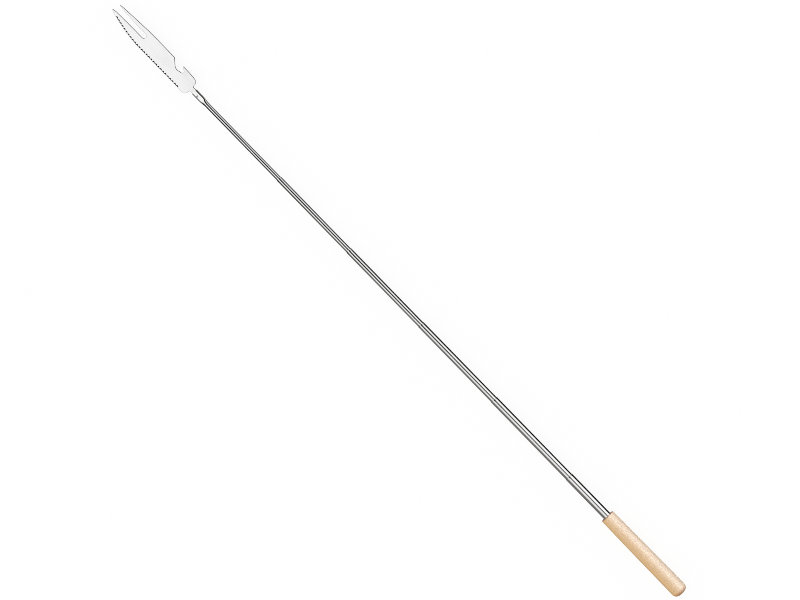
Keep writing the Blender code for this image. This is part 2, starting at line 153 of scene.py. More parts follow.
EDGE_Y = 10.4 * MM
HEEL_RADIUS = 5.5 * MM
HEEL_STEPS = 12
HEEL_HOLLOW = ((0.0, 1.0 * MM), (-0.4 * MM, 0.25 * MM), (TANG_ROOT_U, 0.0))
NOSE_START_U = 76.0 * MM
NOSE_END_U = 117.0 * MM
NOSE_LENGTH = 47.7 * MM
NOSE_DROP = 8.1 * MM
NOSE_POWER = 1.65
NOSE_STEPS = 24
SLOT_ROOT_U = 75.0 * MM
SLOT_HALF_WIDTH = 2.95 * MM
SLOT_CENTRE_Y = -3.45 * MM
SLOT_STEPS = 18
HOOK_TIP = (24.2 * MM, -11.35 * MM)
POCKET_CENTRE = (21.3 * MM, -7.2 * MM)
POCKET_RADIUS = 3.0 * MM
POCKET_ARC = (190.0, 75.0)
POCKET_STEPS = 14
NOTCH_CENTRE = (25.8 * MM, -10.4 * MM)
NOTCH_RADIUS = 7.0 * MM
NOTCH_ARC = (112.0, 52.0)
NOTCH_STEPS = 12
OUTLINE_STEP = 0.6 * MM
CORNER_RADIUS = 0.6 * MM
OPEN_CORNER = math.radians(160.0)
CORNER_SHARE = 0.45

# The sheet's rolled edges, and how far their rings may move in where the outline is tight
EDGE_ROLL = 0.3 * MM
EDGE_ROLL_STEPS = 8
EDGE_SUPPORT = 0.1 * MM
# Edge faces below this share of the roll take near-black steel: painted dark reflection along the
# sheet's edges.
PAINTED_DARK_EDGE_BELOW = 0.2
LEAST_SPREADING = 0.35
FACING_SHARE = 0.3
NEIGHBOUR_SHARE = 0.7
ROOM_SLOPE = 0.5

# Serrations, hollowed by grinding from the blade's upper side
GULLET_COUNT = 28
GULLET_FIRST_U = 113.9 * MM
GULLET_PITCH = 3.737 * MM
GULLET_RADIUS = 1.9 * MM
GULLET_TILT = math.radians(41.0)
CUTTER_LENGTH = 14.0 * MM
SLOPE_REACH = 0.5 * MM

# Rivet
RIVET_SHANK_RADIUS = 0.8 * MM
RIVET_CROWN_ARC = (80.0, 0.0)

# Light by angle round the shaft, from the camera's direction, with + towards the notch side:
# what the handle's end mirrors, then the shaft's middle, then the tines' end
PANELS_REAR = (
    (-180.0, (0.17, 0.166, 0.158)),
    (-66.0, (0.17, 0.166, 0.158)),
    (-48.0, (0.84, 0.835, 0.82)),
    (-30.0, (0.93, 0.93, 0.93)),
    (26.0, (1.1, 1.1, 1.1)),
    (74.0, (1.14, 1.14, 1.14)),
    (86.0, (0.01, 0.0095, 0.0105)),
    (179.0, (0.01, 0.0095, 0.0105)),
    (180.0, (0.17, 0.166, 0.158)),
)
PANELS_MIDDLE = (
    (-180.0, (0.2, 0.197, 0.19)),
    (-72.0, (0.2, 0.197, 0.19)),
    (-60.0, (0.8, 0.8, 0.79)),
    (-40.0, (0.95, 0.95, 0.95)),
    (26.0, (1.08, 1.08, 1.08)),
    (60.0, (1.04, 1.04, 1.04)),
    (70.0, (0.01, 0.0095, 0.0105)),
    (179.0, (0.01, 0.0095, 0.0105)),
    (180.0, (0.2, 0.197, 0.19)),
)
PANELS_FRONT = (
    (-180.0, (0.03, 0.03, 0.03)),
    (-68.0, (0.03, 0.03, 0.03)),
    (-48.0, (0.98, 0.98, 0.97)),
    (-34.0, (1.06, 1.06, 1.06)),
    (26.0, (0.9, 0.9, 0.9)),
    (70.0, (0.66, 0.66, 0.66)),
    (94.0, (0.15, 0.15, 0.155)),
    (179.0, (0.08, 0.08, 0.085)),
    (180.0, (0.03, 0.03, 0.03)),
)
REAR_X = -0.09
FRONT_X = 0.09

# A soft lamp on the notch side that only the handle's waxed wood mirrors
LAMP_ANGLE = math.radians(75.0)
LAMP_AHEAD = 0.2
LAMP_DISTANCE = 1.2
LAMP_SIZE = (2.4, 2.4)
LAMP_POWER = 280.0
LAMP_COLOUR = (0.8, 0.88, 1.0)

# The same angles for the soft light that falls on the wood and the floor
SOFT_LIGHT = (
    (-180.0, 0.35),
    (-120.0, 0.45),
    (-75.0, 0.95),
    (-50.0, 1.1),
    (-20.0, 1.1),
    (5.0, 0.75),
    (30.0, 0.35),
    (60.0, 0.2),
    (150.0, 0.2),
    (180.0, 0.35),
)

# The dark gap between the panels, at the handle's end, the shaft's middle and the tines' end
GAP_CENTRE = (math.radians(8.0), math.radians(0.0), math.radians(10.0))
GAP_HALF_WIDTH = (math.radians(15.0), math.radians(23.0), math.radians(27.0))
GAP_LIGHT = (0.16, 0.03, 0.005)
GAP_SOFTNESS = math.radians(6.0)

# Backdrop, floor and lens
BACKDROP = (0.97, 0.97, 0.97)
FLOOR_HALF_SIZE = 6.0
FLOOR_GAP = 0.3 * MM
FLOOR_GREY = (0.9, 0.9, 0.9, 1.0)
FLOOR_ROUGHNESS = 0.9
FLOOR_GLOW = 1.03
FLOOR_GLOW_SHARE = 0.88
FLOOR_BOUNCE = 0.5
WHITE = (1.0, 1.0, 1.0, 1.0)
CLIP_START = 0.05
CLIP_END = 50.0
PIXEL_FILTER = 0.9


# ---------------------------------------------------------------- node helpers


def new_material(name):
    material = bpy.data.materials.new(name)
    material.use_nodes = True
    return material, material.node_tree, material.node_tree.nodes["Principled BSDF"]


def add(tree, kind, settings=None, **inputs):
    """A shader node, with its settings and inputs set or linked. Inputs' spaces are written as _."""
    node = tree.nodes.new(kind)
    for key, value in (settings or {}).items():
        setattr(node, key, value)
    for key, value in inputs.items():
        feed(tree, node, key.replace("_", " "), value)
    return node


def feed(tree, node, key, value):
    socket = node.inputs[int(key) if key.isdigit() else key]
    if isinstance(value, bpy.types.NodeSocket):
        tree.links.new(value, socket)
    else:
        socket.default_value = value


def calc(tree, operation, first, second=0.0, clamp=False):
    node = tree.nodes.new("ShaderNodeMath")
    node.operation = operation
    node.use_clamp = clamp
    feed(tree, node, "0", first)
    feed(tree, node, "1", second)
    return node.outputs[0]


def ramp(tree, factor, stops):
    """A colour ramp. Stops are (position, grey value or colour)."""
    node = tree.nodes.new("ShaderNodeValToRGB")
    bar = node.color_ramp
    while len(bar.elements) < len(stops):
        bar.elements.new(0.5)
    for element, (position, value) in zip(bar.elements, stops):
        colour = (value, value, value) if isinstance(value, float) else value
        element.position = position
        element.color = (*colour, 1.0)
    tree.links.new(factor, node.inputs["Fac"])
    return node.outputs["Color"]


def mix_colour(tree, factor, first, second, blend="MIX"):
    node = tree.nodes.new("ShaderNodeMix")
    node.data_type = "RGBA"
    node.blend_type = blend
    for index, value in ((0, factor), (6, first), (7, second)):
        if isinstance(value, bpy.types.NodeSocket):
            tree.links.new(value, node.inputs[index])
        elif index == 0:
            node.inputs[0].default_value = value
        else:
            node.inputs[index].default_value = (*value, 1.0)
    return node.outputs[2]


def place(tree, stretch, shift=(0.0, 0.0, 0.0)):
    """The piece's own coordinates, scaled by stretch."""
    coordinates = tree.nodes.new("ShaderNodeTexCoord")
    mapping = add(tree, "ShaderNodeMapping", Location=shift, Scale=stretch)
    tree.links.new(coordinates.outputs["Object"], mapping.inputs["Vector"])
    return mapping.outputs["Vector"]


def grain(tree, stretch, detail=2.0, roughness=0.5, shift=(0.0, 0.0, 0.0)):
    """Noise from 0 to 1, with each axis stretched: cycles per metre along x, y and z."""
    vector = place(tree, stretch, shift)
    node = add(
        tree, "ShaderNodeTexNoise", Vector=vector, Scale=1.0, Detail=detail, Roughness=roughness
    )
    return node.outputs["Fac"]


def bump(tree, height, strength, distance, normal=None):
    node = add(tree, "ShaderNodeBump", Height=height, Strength=strength, Distance=distance)
    if normal is not None:
        tree.links.new(normal, node.inputs["Normal"])
    return node.outputs["Normal"]


# ---------------------------------------------------------------- materials


def beech():
    """Sanded, waxed beech: growth rings, fine pores and short dark ray flecks along the grain, with
    painted shade on its ends.
    """
    material, tree, shader = new_material("beech")
    bend = grain(tree, (9.0, 60.0, 60.0), detail=3.0)
    vector = place(tree, (0.35, 1.0, 1.0), (0.0, 0.031, 0.012))
    wander = calc(tree, "MULTIPLY", calc(tree, "SUBTRACT", bend, 0.5), 0.0035)
    split = add(tree, "ShaderNodeSeparateXYZ", Vector=vector)
    reach = add(tree, "ShaderNodeCombineXYZ", Y=split.outputs["Y"], Z=split.outputs["Z"])
    length = add(tree, "ShaderNodeVectorMath", {"operation": "LENGTH"})
    tree.links.new(reach.outputs[0], length.inputs[0])
    radius = calc(tree, "ADD", length.outputs["Value"], wander)
    turns = calc(tree, "MULTIPLY", radius, 2 * math.pi / (2.6 * MM))
    rings = calc(tree, "MULTIPLY", calc(tree, "SINE", turns), 0.5)
    rings = calc(tree, "ADD", rings, 0.5, clamp=True)
    streaks = grain(tree, (14.0, 900.0, 900.0), detail=4.0, roughness=0.6)
    patches = grain(tree, (22.0, 130.0, 130.0), detail=3.0)
    fleck_vector = place(tree, (260.0, 1500.0, 1500.0))
    cells = add(tree, "ShaderNodeTexVoronoi", Vector=fleck_vector, Scale=1.0, Randomness=1.0)
    fleck_shape = ramp(tree, cells.outputs["Distance"], [(0.0, 1.0), (0.16, 0.85), (0.3, 0.0)])
    chosen = add(tree, "ShaderNodeSeparateColor", Color=cells.outputs["Color"])
    some = ramp(tree, chosen.outputs[0], [(0.62, 0.0), (0.74, 1.0)])
    flecks = calc(tree, "MULTIPLY", fleck_shape, some)
    base = mix_colour(tree, rings, (0.79, 0.52, 0.24), (0.74, 0.455, 0.19))
    streak_mask = ramp(tree, streaks, [(0.35, 0.0), (0.7, 1.0)])
    streak_mask = calc(tree, "MULTIPLY", streak_mask, 0.55)
    base = mix_colour(tree, streak_mask, base, (0.68, 0.4, 0.16))
    patch_mask = ramp(tree, patches, [(0.45, 0.0), (0.75, 1.0)])
    patch_mask = calc(tree, "MULTIPLY", patch_mask, 0.35)
    base = mix_colour(tree, patch_mask, base, (0.83, 0.57, 0.3))
    fleck_mask = calc(tree, "MULTIPLY", flecks, 0.3)
    base = mix_colour(tree, fleck_mask, base, (0.45, 0.26, 0.13))
    # Painted shade: the wood is multiplied darker the more its surface faces along the shaft, on the
    # rounded end and the front face.
    facing = tree.nodes.new("ShaderNodeTexCoord")
    ends = add(tree, "ShaderNodeSeparateXYZ", Vector=facing.outputs["Normal"])
    end_shade_stops = [(0.02, 1.0), (0.22, (0.9, 0.8, 0.68))]
    end_shade_stops += [(0.6, (0.68, 0.5, 0.34)), (1.0, (0.54, 0.36, 0.2))]
    ends = ramp(tree, calc(tree, "ABSOLUTE", ends.outputs["X"]), end_shade_stops)
    base = mix_colour(tree, 1.0, base, ends, blend="MULTIPLY")
    tree.links.new(base, shader.inputs["Base Color"])
    sheen = calc(tree, "MULTIPLY", streaks, 0.16)
    feed(tree, shader, "Roughness", calc(tree, "ADD", sheen, 0.65))
    feed(tree, shader, "IOR", 1.5)
    feed(tree, shader, "Specular IOR Level", 1.0)
    pores = calc(tree, "ADD", flecks, calc(tree, "MULTIPLY", streaks, -0.4))
    feed(tree, shader, "Normal", bump(tree, pores, 0.15, -0.00006))
    return material


def steel(name, colour, smooth, stretch, scratch_depth, smudge=0.08):
    """Bare steel with fine lines along one axis, faint smudges and a roughness that varies."""
    material, tree, shader = new_material(name)
    lines = grain(tree, stretch, detail=5.0, roughness=0.65)
    smudges = grain(tree, (35.0, 90.0, 90.0), detail=3.0, shift=(0.3, 0.1, 0.7))
    stains = ramp(tree, smudges, [(0.42, 0.0), (0.72, 1.0)])
    shade = calc(tree, "MULTIPLY", lines, 0.22)
    shade = calc(tree, "ADD", shade, 0.1)
    dark = tuple(0.82 * value for value in colour)
    tree.links.new(mix_colour(tree, shade, colour, dark), shader.inputs["Base Color"])
    rough = calc(tree, "MULTIPLY", stains, smudge)
    rough = calc(tree, "ADD", rough, calc(tree, "MULTIPLY", lines, 0.1))
    feed(tree, shader, "Roughness", calc(tree, "ADD", rough, smooth))
    feed(tree, shader, "Metallic", 1.0)
    feed(tree, shader, "Normal", bump(tree, lines, 0.3, scratch_depth))
    return material


def brass():
    """Turned brass with fine lines round the ring and a little tarnish."""
    material, tree, shader = new_material("brass")
    lines = grain(tree, (9000.0, 60.0, 60.0), detail=3.0)
    tarnish = grain(tree, (160.0, 300.0, 300.0), detail=4.0)
    mask = ramp(tree, tarnish, [(0.4, 0.0), (0.75, 0.8)])
    colour = mix_colour(tree, mask, (0.80, 0.60, 0.27), (0.50, 0.34, 0.15))
    tree.links.new(colour, shader.inputs["Base Color"])
    rough = calc(tree, "MULTIPLY", tarnish, 0.25)
    feed(tree, shader, "Roughness", calc(tree, "ADD", rough, 0.16))
    feed(tree, shader, "Metallic", 1.0)
    feed(tree, shader, "Normal", bump(tree, lines, 0.3, 0.00002))
    return material


# ---------------------------------------------------------------- mesh helpers


def mesh_from(shape, name, sharp=SHARP_ANGLE):
    bmesh.ops.recalc_face_normals(shape, faces=shape.faces)
    mesh = bpy.data.meshes.new(name)
    shape.to_mesh(mesh)
    shape.free()
    mesh.shade_smooth()
    mesh.set_sharp_from_angle(angle=sharp)
    return mesh


def add_piece(name, mesh, material, body, node):
    """Shows a mesh in place of a CAD node, moving with its body."""
    if material is not None:
        mesh.materials.append(material)
    piece = bpy.data.objects.new(name, mesh)
    bpy.context.scene.collection.objects.link(piece)
    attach(piece, body)
    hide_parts(node)
    return piece


def join_rings(shape, first, second):
    """Faces between two rings, either of which may be a single point on the axis."""
    count = max(len(first), len(second))
    for step in range(count):
        after = (step + 1) % count
        corners = [first[step % len(first)], first[after % len(first)]]
        corners += [second[after % len(second)], second[step % len(second)]]
        unique = list(dict.fromkeys(corners))
        shape.faces.new(unique)


def lathe(name, stations, segments, closed=False, wander=None):
    """A turned shape about the shaft's axis from (x, radius) stations, front to rear outside."""
    shape = bmesh.new()
    rings = []
    for x, radius in stations:
        if radius == 0.0:
            rings.append([shape.verts.new((x, 0.0, 0.0))])
            continue
        ring = []
        for step in range(segments):
            angle = 2 * math.pi * step / segments
            out = radius + (wander(x, angle) if wander else 0.0)
            ring.append(shape.verts.new((x, out * math.sin(angle), out * math.cos(angle))))
        rings.append(ring)
    following = rings[1:] + rings[:1] if closed else rings[1:]
    for first, second in zip(rings, following):
        join_rings(shape, first, second)
    return mesh_from(shape, name)


def arc(centre_u, centre_v, radius_u, radius_v, start, end, steps):
    """Points on an ellipse's arc, with angles in degrees."""
    points = []
    for step in range(steps + 1):
        angle = math.radians(start + (end - start) * step / steps)
        points.append(
            (centre_u + radius_u * math.cos(angle), centre_v + radius_v * math.sin(angle))
        )
    return points


def spread(first, last, count):
    return [first + (last - first) * step / count for step in range(count + 1)]


def eased(points, radius, steps):
    """A closed outline with its corners rounded to at most the given radius."""
    soft = []
    count = len(points)
    for index, point in enumerate(points):
        corner = Vector(point)
        before = Vector(points[index - 1]) - corner
        after = Vector(points[(index + 1) % count]) - corner
        opening = before.angle(after)
        if opening > OPEN_CORNER:
            soft.append(corner)
            continue
        reach = radius / math.tan(opening / 2)
        reach = min(reach, CORNER_SHARE * before.length, CORNER_SHARE * after.length)
        start = corner + before.normalized() * reach
        end = corner + after.normalized() * reach
        for share in spread(0.0, 1.0, steps):
            first = start.lerp(corner, share)
            second = corner.lerp(end, share)
            soft.append(first.lerp(second, share))
    return [(place.x, place.y) for place in soft]


# ---------------------------------------------------------------- tubes


def tube_size(number):
    """(rear x, mouth x, outer radius) of a tube, from its CAD node."""
    low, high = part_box(f"tube_{number}")
    return low.x, high.x, high.z


def lip_stations(mouth, radius):
    """The rolled-in mouth, from inside the bore round to the outer side."""
    throat = radius - TUBE_STEP + LIP_CLEARANCE
    bore = radius - TUBE_WALL
    roll = (radius - throat) / 2
    points = [(mouth - LIP_LENGTH, bore)]
    points += [(mouth - LIP_BEND_AT * LIP_LENGTH, bore - LIP_BEND_SHARE * (bore - throat))]
    points += [(mouth - LIP_THROAT_AT * LIP_LENGTH, throat)]
    points += arc(mouth - roll, throat + roll, roll, roll, -90.0, 90.0, 2 * FINE_STEPS)
    return points


def seat_stations(rear, radius):
    """The necked seat, down its outer side and back up inside."""
    neck = radius - NECK_DEPTH
    flare = radius - FLARE_DEPTH
    shoulder = SEAT_LENGTH - SHOULDER_LENGTH
    outer = []
    for share in spread(0.0, 1.0, FINE_STEPS):
        blend = share * share * (3 - 2 * share)
        x = rear + SEAT_LENGTH - SHOULDER_LENGTH * share
        outer.append((x, radius - NECK_DEPTH * blend))
    inner = [(x + INNER_SHIFT, out - TUBE_WALL) for x, out in reversed(outer)]
    end = [
        (rear + FLARE_LENGTH, neck),
        (rear + FLARE_BEND_AT * FLARE_LENGTH, flare - FLARE_ROUND),
        (rear, flare),
        (rear, flare - TUBE_WALL),
        (rear + FLARE_LENGTH + INNER_SHIFT, neck - TUBE_WALL),
    ]
    middle = [(rear + shoulder / 2, neck)]
    return outer + middle + end + inner


def round_tube(number, body, material):
    rear, mouth, radius = tube_size(number)
    stations = lip_stations(mouth, radius)
    if number == 6:
        back = [(rear, radius), (rear, radius - TUBE_WALL)]
        front_of_seat = rear
    else:
        back = seat_stations(rear, radius)
        front_of_seat = rear + SEAT_LENGTH
    shaft = spread(mouth - PLAIN_FROM_MOUTH, front_of_seat + PLAIN_FROM_SEAT, TUBE_RINGS)
    stations += [(x, radius) for x in shaft]
    stations += back
    bore = radius - TUBE_WALL
    stations += [(x, bore) for x in reversed(shaft)]
    mesh = lathe(f"steel_tube_{number}", stations, TUBE_SEGMENTS, closed=True)
    add_piece(f"steel_tube_{number}", mesh, material, body, f"tube_{number}")


def spaced(points, count):
    """Points spread evenly along a closed outline, starting at its first point."""
    corners = [Vector(point) for point in points]
    corners.append(corners[0])
    lengths = [(second - first).length for first, second in zip(corners, corners[1:])]
    whole = sum(lengths)
    result = []
    index = 0
    passed = 0.0
    for step in range(count):
        wanted = whole * step / count
        while passed + lengths[index] < wanted:
            passed += lengths[index]
            index += 1
        share = (wanted - passed) / lengths[index]
        result.append(corners[index].lerp(corners[index + 1], share))
    return result


def pressed_section(half_width, half_height):
    """The pressed mouth's outline in (y, z): flat over the tang, sloping to its two long edges."""
    slope = math.tan(PRESS_SLOPE)
    low = half_height - slope * (half_width - PRESS_FLAT - PRESS_SIDE)
    side = [(half_width - PRESS_SIDE, low), (half_width, low - PRESS_SIDE)]
    quarter = [(PRESS_FLAT, half_height)] + side
    right = quarter + [(y, -z) for y, z in reversed(quarter)]
    left = [(-y, -z) for y, z in right]
    middle = (0.0, half_height)
    return [middle] + eased(right + left, PRESS_EASE, FINE_STEPS)


def tube_section(half_width, half_height, radius, flatness):
    """A section part way between a round tube and its pressed mouth."""
    turn = [2 * math.pi * step / TUBE_SEGMENTS for step in range(TUBE_SEGMENTS)]
    circle = [Vector((radius * math.sin(angle), radius * math.cos(angle))) for angle in turn]
    if flatness == 0.0:
        return circle
    pressed = spaced(pressed_section(half_width, half_height), TUBE_SEGMENTS)
    return [first.lerp(second, flatness) for first, second in zip(circle, pressed)]


def section_ring(shape, x, section):
    return [shape.verts.new((x, point.x, point.y)) for point in section]


def flattened_tube(body, material):
    """The thinnest tube, pressed flat round the blade's tang at its mouth."""
    rear, mouth, radius = tube_size(1)
    half_width = PRESS_HALF_WIDTH
    half_height = PRESS_HALF_HEIGHT
    stations = []
    seat = seat_stations(rear, radius)[: FINE_STEPS + 5]
    for x, out in reversed(seat):
        stations.append((x, out, 0.0))
    taper_start = mouth - FLAT_LENGTH - FLAT_TAPER_LENGTH
    plain_start = rear + SEAT_LENGTH + PLAIN_FROM_SEAT
    for x in spread(plain_start, taper_start - PLAIN_FROM_SEAT, TUBE_RINGS):
        stations.append((x, radius, 0.0))
    for share in spread(0.0, 1.0, 6 * FINE_STEPS):
        blend = share * share * (3 - 2 * share)
        stations.append((taper_start + FLAT_TAPER_LENGTH * share, radius, blend))
    for x in spread(mouth - PRESS_START * FLAT_LENGTH, mouth - RIM_LENGTH, FINE_STEPS):
        stations.append((x, radius, 1.0))
    shape = bmesh.new()
    outer = []
    inner = []
    wall = TUBE_WALL
    for x, out, flat in stations:
        outside = tube_section(half_width, half_height, out, flat)
        inside = tube_section(half_width - wall, half_height - wall, out - wall, flat)
        outer.append(section_ring(shape, x, outside))
        inner.append(section_ring(shape, x, inside))
    for ahead, inset in RIM_ROUND:
        rim = tube_section(half_width - inset, half_height - inset, radius, 1.0)
        outer.append(section_ring(shape, mouth - ahead, rim))
    rings = outer + inner[::-1]
    for first, second in zip(rings, rings[1:] + rings[:1]):
        join_rings(shape, first, second)
    mesh = mesh_from(shape, "steel_tube_1")
    return add_piece("steel_tube_1", mesh, material, body, "tube_1")


# ---------------------------------------------------------------- pieces inside the tubes


def bush(number, body, material):
    """A turned ring with softened edges."""
    low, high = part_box(f"stop_bush_{number}")
    outside = high.z
    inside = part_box(f"tube_{number}")[1].z - NECK_DEPTH + NECK_FIT
    soft = BUSH_ROUND
    stations = [(high.x, inside)]
    stations += arc(high.x - soft, outside - soft, soft, soft, 0.0, 90.0, FINE_STEPS)
    stations += arc(low.x + soft, outside - soft, soft, soft, 90.0, 180.0, FINE_STEPS)
    stations += [(low.x, inside)]
    mesh = lathe(f"brass_bush_{number}", stations, TUBE_SEGMENTS, closed=True)
    add_piece(f"brass_bush_{number}", mesh, material, body, f"stop_bush_{number}")


def half_spring(number, side, turn, body, material):
    """A bowed half shell, made as an open sheet with Solidify."""
    low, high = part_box(f"friction_spring_{number}_{side}")
    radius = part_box(f"tube_{number}")[1].z
    ends = radius - NECK_DEPTH + SPRING_END_LIFT
    crown = radius + TUBE_WALL - SPRING_CROWN_GAP
    shape = bmesh.new()
    rows = []
    for share in spread(0.0, 1.0, 3 * FINE_STEPS):
        out = ends + (crown - ends) * math.sin(math.pi * share)
        x = low.x + (high.x - low.x) * share
        row = []
        for angle in spread(turn - SPRING_REACH, turn + SPRING_REACH, 6 * FINE_STEPS):
            row.append(shape.verts.new((x, out * math.sin(angle), out * math.cos(angle))))
        rows.append(row)
    for first, second in zip(rows, rows[1:]):
        for step in range(len(first) - 1):
            corners = (first[step], first[step + 1], second[step + 1], second[step])
            shape.faces.new(corners)
    mesh = bpy.data.meshes.new(f"spring_{number}_{side}")
    shape.to_mesh(mesh)
    shape.free()
    mesh.shade_smooth()
    node = f"friction_spring_{number}_{side}"
    piece = add_piece(f"bowed_spring_{number}_{side}", mesh, material, body, node)
    shell = piece.modifiers.new("thickness", "SOLIDIFY")
    shell.thickness = SPRING_THICKNESS
    outward = Vector((0.0, math.sin(turn), math.cos(turn)))
    middle = mesh.polygons[len(mesh.polygons) // 2]
    shell.offset = 1.0 if middle.normal.dot(outward) < 0 else -1.0


def plug(body, material):
    low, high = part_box("tube_end_plug")
    radius = high.z
    soft = PLUG_ROUND
    stations = [(high.x, 0.0)]
    stations += arc(high.x - soft, radius - soft, soft, soft, 0.0, 90.0, FINE_STEPS)
    stations += [(low.x, radius), (low.x, 0.0)]
    mesh = lathe("brass_plug", stations, TUBE_SEGMENTS)
    add_piece("brass_plug", mesh, material, body, "tube_end_plug")


# ---------------------------------------------------------------- handle


def sanded(x, angle):
    """How far the hand-sanded wood stands above or below a true turned surface."""
    across = SANDING_ROUND * math.sin(angle)
    up = SANDING_ROUND * math.cos(angle)
    return HAND_SANDING * noise.noise(Vector((SANDING_PER_METRE * x, across, up)))


def handle(body, material):
    low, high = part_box("handle")
    front, rear, rear_radius = high.x, low.x, high.z
    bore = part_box("tube_6")[1].z + BORE_CLEARANCE
    bore_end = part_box("tube_6")[0].x - BORE_END_GAP
    length = front - rear
    straight = length - DOME_DEPTH
    stations = [(bore_end, 0.0), (bore_end, bore)]
    inset = spread(bore_end + BORE_INSET, front - BORE_INSET, FINE_STEPS)
    stations += [(x, bore) for x in inset]
    mouth_depth, mouth_width = BORE_MOUTH
    stations += [(front - mouth_depth, bore), (front, bore + mouth_width)]
    face = FRONT_RADIUS - EDGE_ROUND
    shares = spread(*FACE_SHARES, FACE_RINGS)
    stations += [(front, bore + (face - bore) * share) for share in shares]
    stations += arc(front - EDGE_ROUND, face, EDGE_ROUND, EDGE_ROUND, 0.0, EDGE_TURN, FINE_STEPS)
    edge = EDGE_REACH * EDGE_ROUND
    for step in range(HANDLE_RINGS + 1):
        share = (step / HANDLE_RINGS) ** SWELL_SPREAD
        back = edge + (straight - edge) * share
        swell = (rear_radius - FRONT_RADIUS) * (back / straight) ** SWELL_POWER
        stations.append((front - back, FRONT_RADIUS + swell))
    for step in range(1, DOME_RINGS):
        angle = math.pi / 2 * step / DOME_RINGS
        x = front - straight - DOME_DEPTH * math.sin(angle) ** DOME_POWER
        stations.append((x, rear_radius * math.cos(angle) ** DOME_POWER))
    stations.append((rear, 0.0))
    mesh = lathe("beech_handle", stations, HANDLE_SEGMENTS, wander=sanded)
    return add_piece("beech_handle", mesh, material, body, "handle")


# ---------------------------------------------------------------- blade


def nose_y(u):
    """The lower edge's line: straight, then falling away in the nose."""
    if u <= NOSE_START_U:
        return EDGE_Y
    share = (u - NOSE_START_U) / NOSE_LENGTH
    return EDGE_Y - NOSE_DROP * share**NOSE_POWER


def outline():
    """The blade's outline in (u, y): tang, hook, notch, spine, tines, lower edge, heel."""
    slot_front = SLOT_ROOT_U + SLOT_HALF_WIDTH
    half = TANG_HALF_WIDTH
    points = [(-TANG_LENGTH, -half), (TANG_ROOT_U, -half)]
    points += [*SHOULDER, *SPINE_BEHIND, HOOK_TIP]
    points += arc(*POCKET_CENTRE, POCKET_RADIUS, POCKET_RADIUS, *POCKET_ARC, POCKET_STEPS)
    points += arc(*NOTCH_CENTRE, NOTCH_RADIUS, NOTCH_RADIUS, *NOTCH_ARC, NOTCH_STEPS)
    points += [*SPINE_AHEAD, *UPPER_TINE_BACK, UPPER_TIP, *UPPER_TINE_INSIDE]
    root = (SLOT_HALF_WIDTH, SLOT_HALF_WIDTH, 270.0, 90.0, SLOT_STEPS)
    points += arc(slot_front, SLOT_CENTRE_Y, *root)
    points += [*LOWER_TINE_INSIDE, LOWER_TIP, *LOWER_TIP_ROUND]
    points += [(u, nose_y(u)) for u in spread(NOSE_END_U, NOSE_START_U, NOSE_STEPS)]
    heel = (HEEL_RADIUS, HEEL_RADIUS, 90.0, 180.0, HEEL_STEPS)
    points += arc(HEEL_RADIUS, EDGE_Y - HEEL_RADIUS, *heel)
    points += [(u, half + beyond) for u, beyond in HEEL_HOLLOW]
    points.append((-TANG_LENGTH, half))
    return points


def refined(points, step):
    """The closed outline with its long sides divided evenly."""
    fine = []
    for first, second in zip(points, points[1:] + points[:1]):
        run = math.dist(first, second)
        pieces = max(1, math.ceil(run / step))
        for part in range(pieces):
            share = part / pieces
            u = first[0] + (second[0] - first[0]) * share
            y = first[1] + (second[1] - first[1]) * share
            fine.append((u, y))
    return fine


def inward_normals(points):
    """Unit vectors into the sheet at each point, and how much a corner stretches them."""
    normals = []
    count = len(points)
    area = sum(
        points[i][0] * points[(i + 1) % count][1] - points[(i + 1) % count][0] * points[i][1]
        for i in range(count)
    )
    side = 1.0 if area > 0 else -1.0
    for index in range(count):
        before = Vector(points[index]) - Vector(points[index - 1])
        after = Vector(points[(index + 1) % count]) - Vector(points[index])
        before.normalize()
        after.normalize()
        middle = Vector((-(before.y + after.y), before.x + after.x)) * side
        middle.normalize()
        spreading = max(LEAST_SPREADING, middle.dot(Vector((-after.y, after.x)) * side))
        normals.append(middle / spreading)
    return normals


def room(points, normals):
    """How far each point can move inwards before it nears the other side or its neighbours."""
    limits = facing_room(points, normals)
    count = len(points)
    for index in range(count):
        after = (index + 1) % count
        side = Vector(points[after]) - Vector(points[index])
        closing = (normals[index] - normals[after]).dot(side.normalized())
        if closing > 0.0:
            limit = NEIGHBOUR_SHARE * side.length / closing
            limits[index] = min(limits[index], limit)
            limits[after] = min(limits[after], limit)
    for _ in range(2):
        for index in range(count):
            run = math.dist(points[index], points[index - 1])
            limits[index] = min(limits[index], limits[index - 1] + ROOM_SLOPE * run)
        for index in reversed(range(count)):
            after = (index + 1) % count
            run = math.dist(points[index], points[after])
            limits[index] = min(limits[index], limits[after] + ROOM_SLOPE * run)
    return limits


def facing_room(points, normals):
    """A share of the distance from each point, inwards, to the other side."""
    limits = []
    count = len(points)
    for index, (point, normal) in enumerate(zip(points, normals)):
        direction = normal.normalized()
        nearest = 1.0
        for other in range(count):
            if other in (index, (index - 1) % count):
                continue
            start = Vector(points[other]) - Vector(point)
            along = Vector(points[(other + 1) % count]) - Vector(points[other])
            cross = direction.x * along.y - direction.y * along.x
            if abs(cross) < 1e-12:
                continue
            reach = (start.x * along.y - start.y * along.x) / cross
            share = (start.x * direction.y - start.y * direction.x) / cross
            if 1e-6 < reach < nearest and -1e-6 <= share <= 1 + 1e-6:
                nearest = reach
        limits.append(FACING_SHARE * nearest)
    return limits


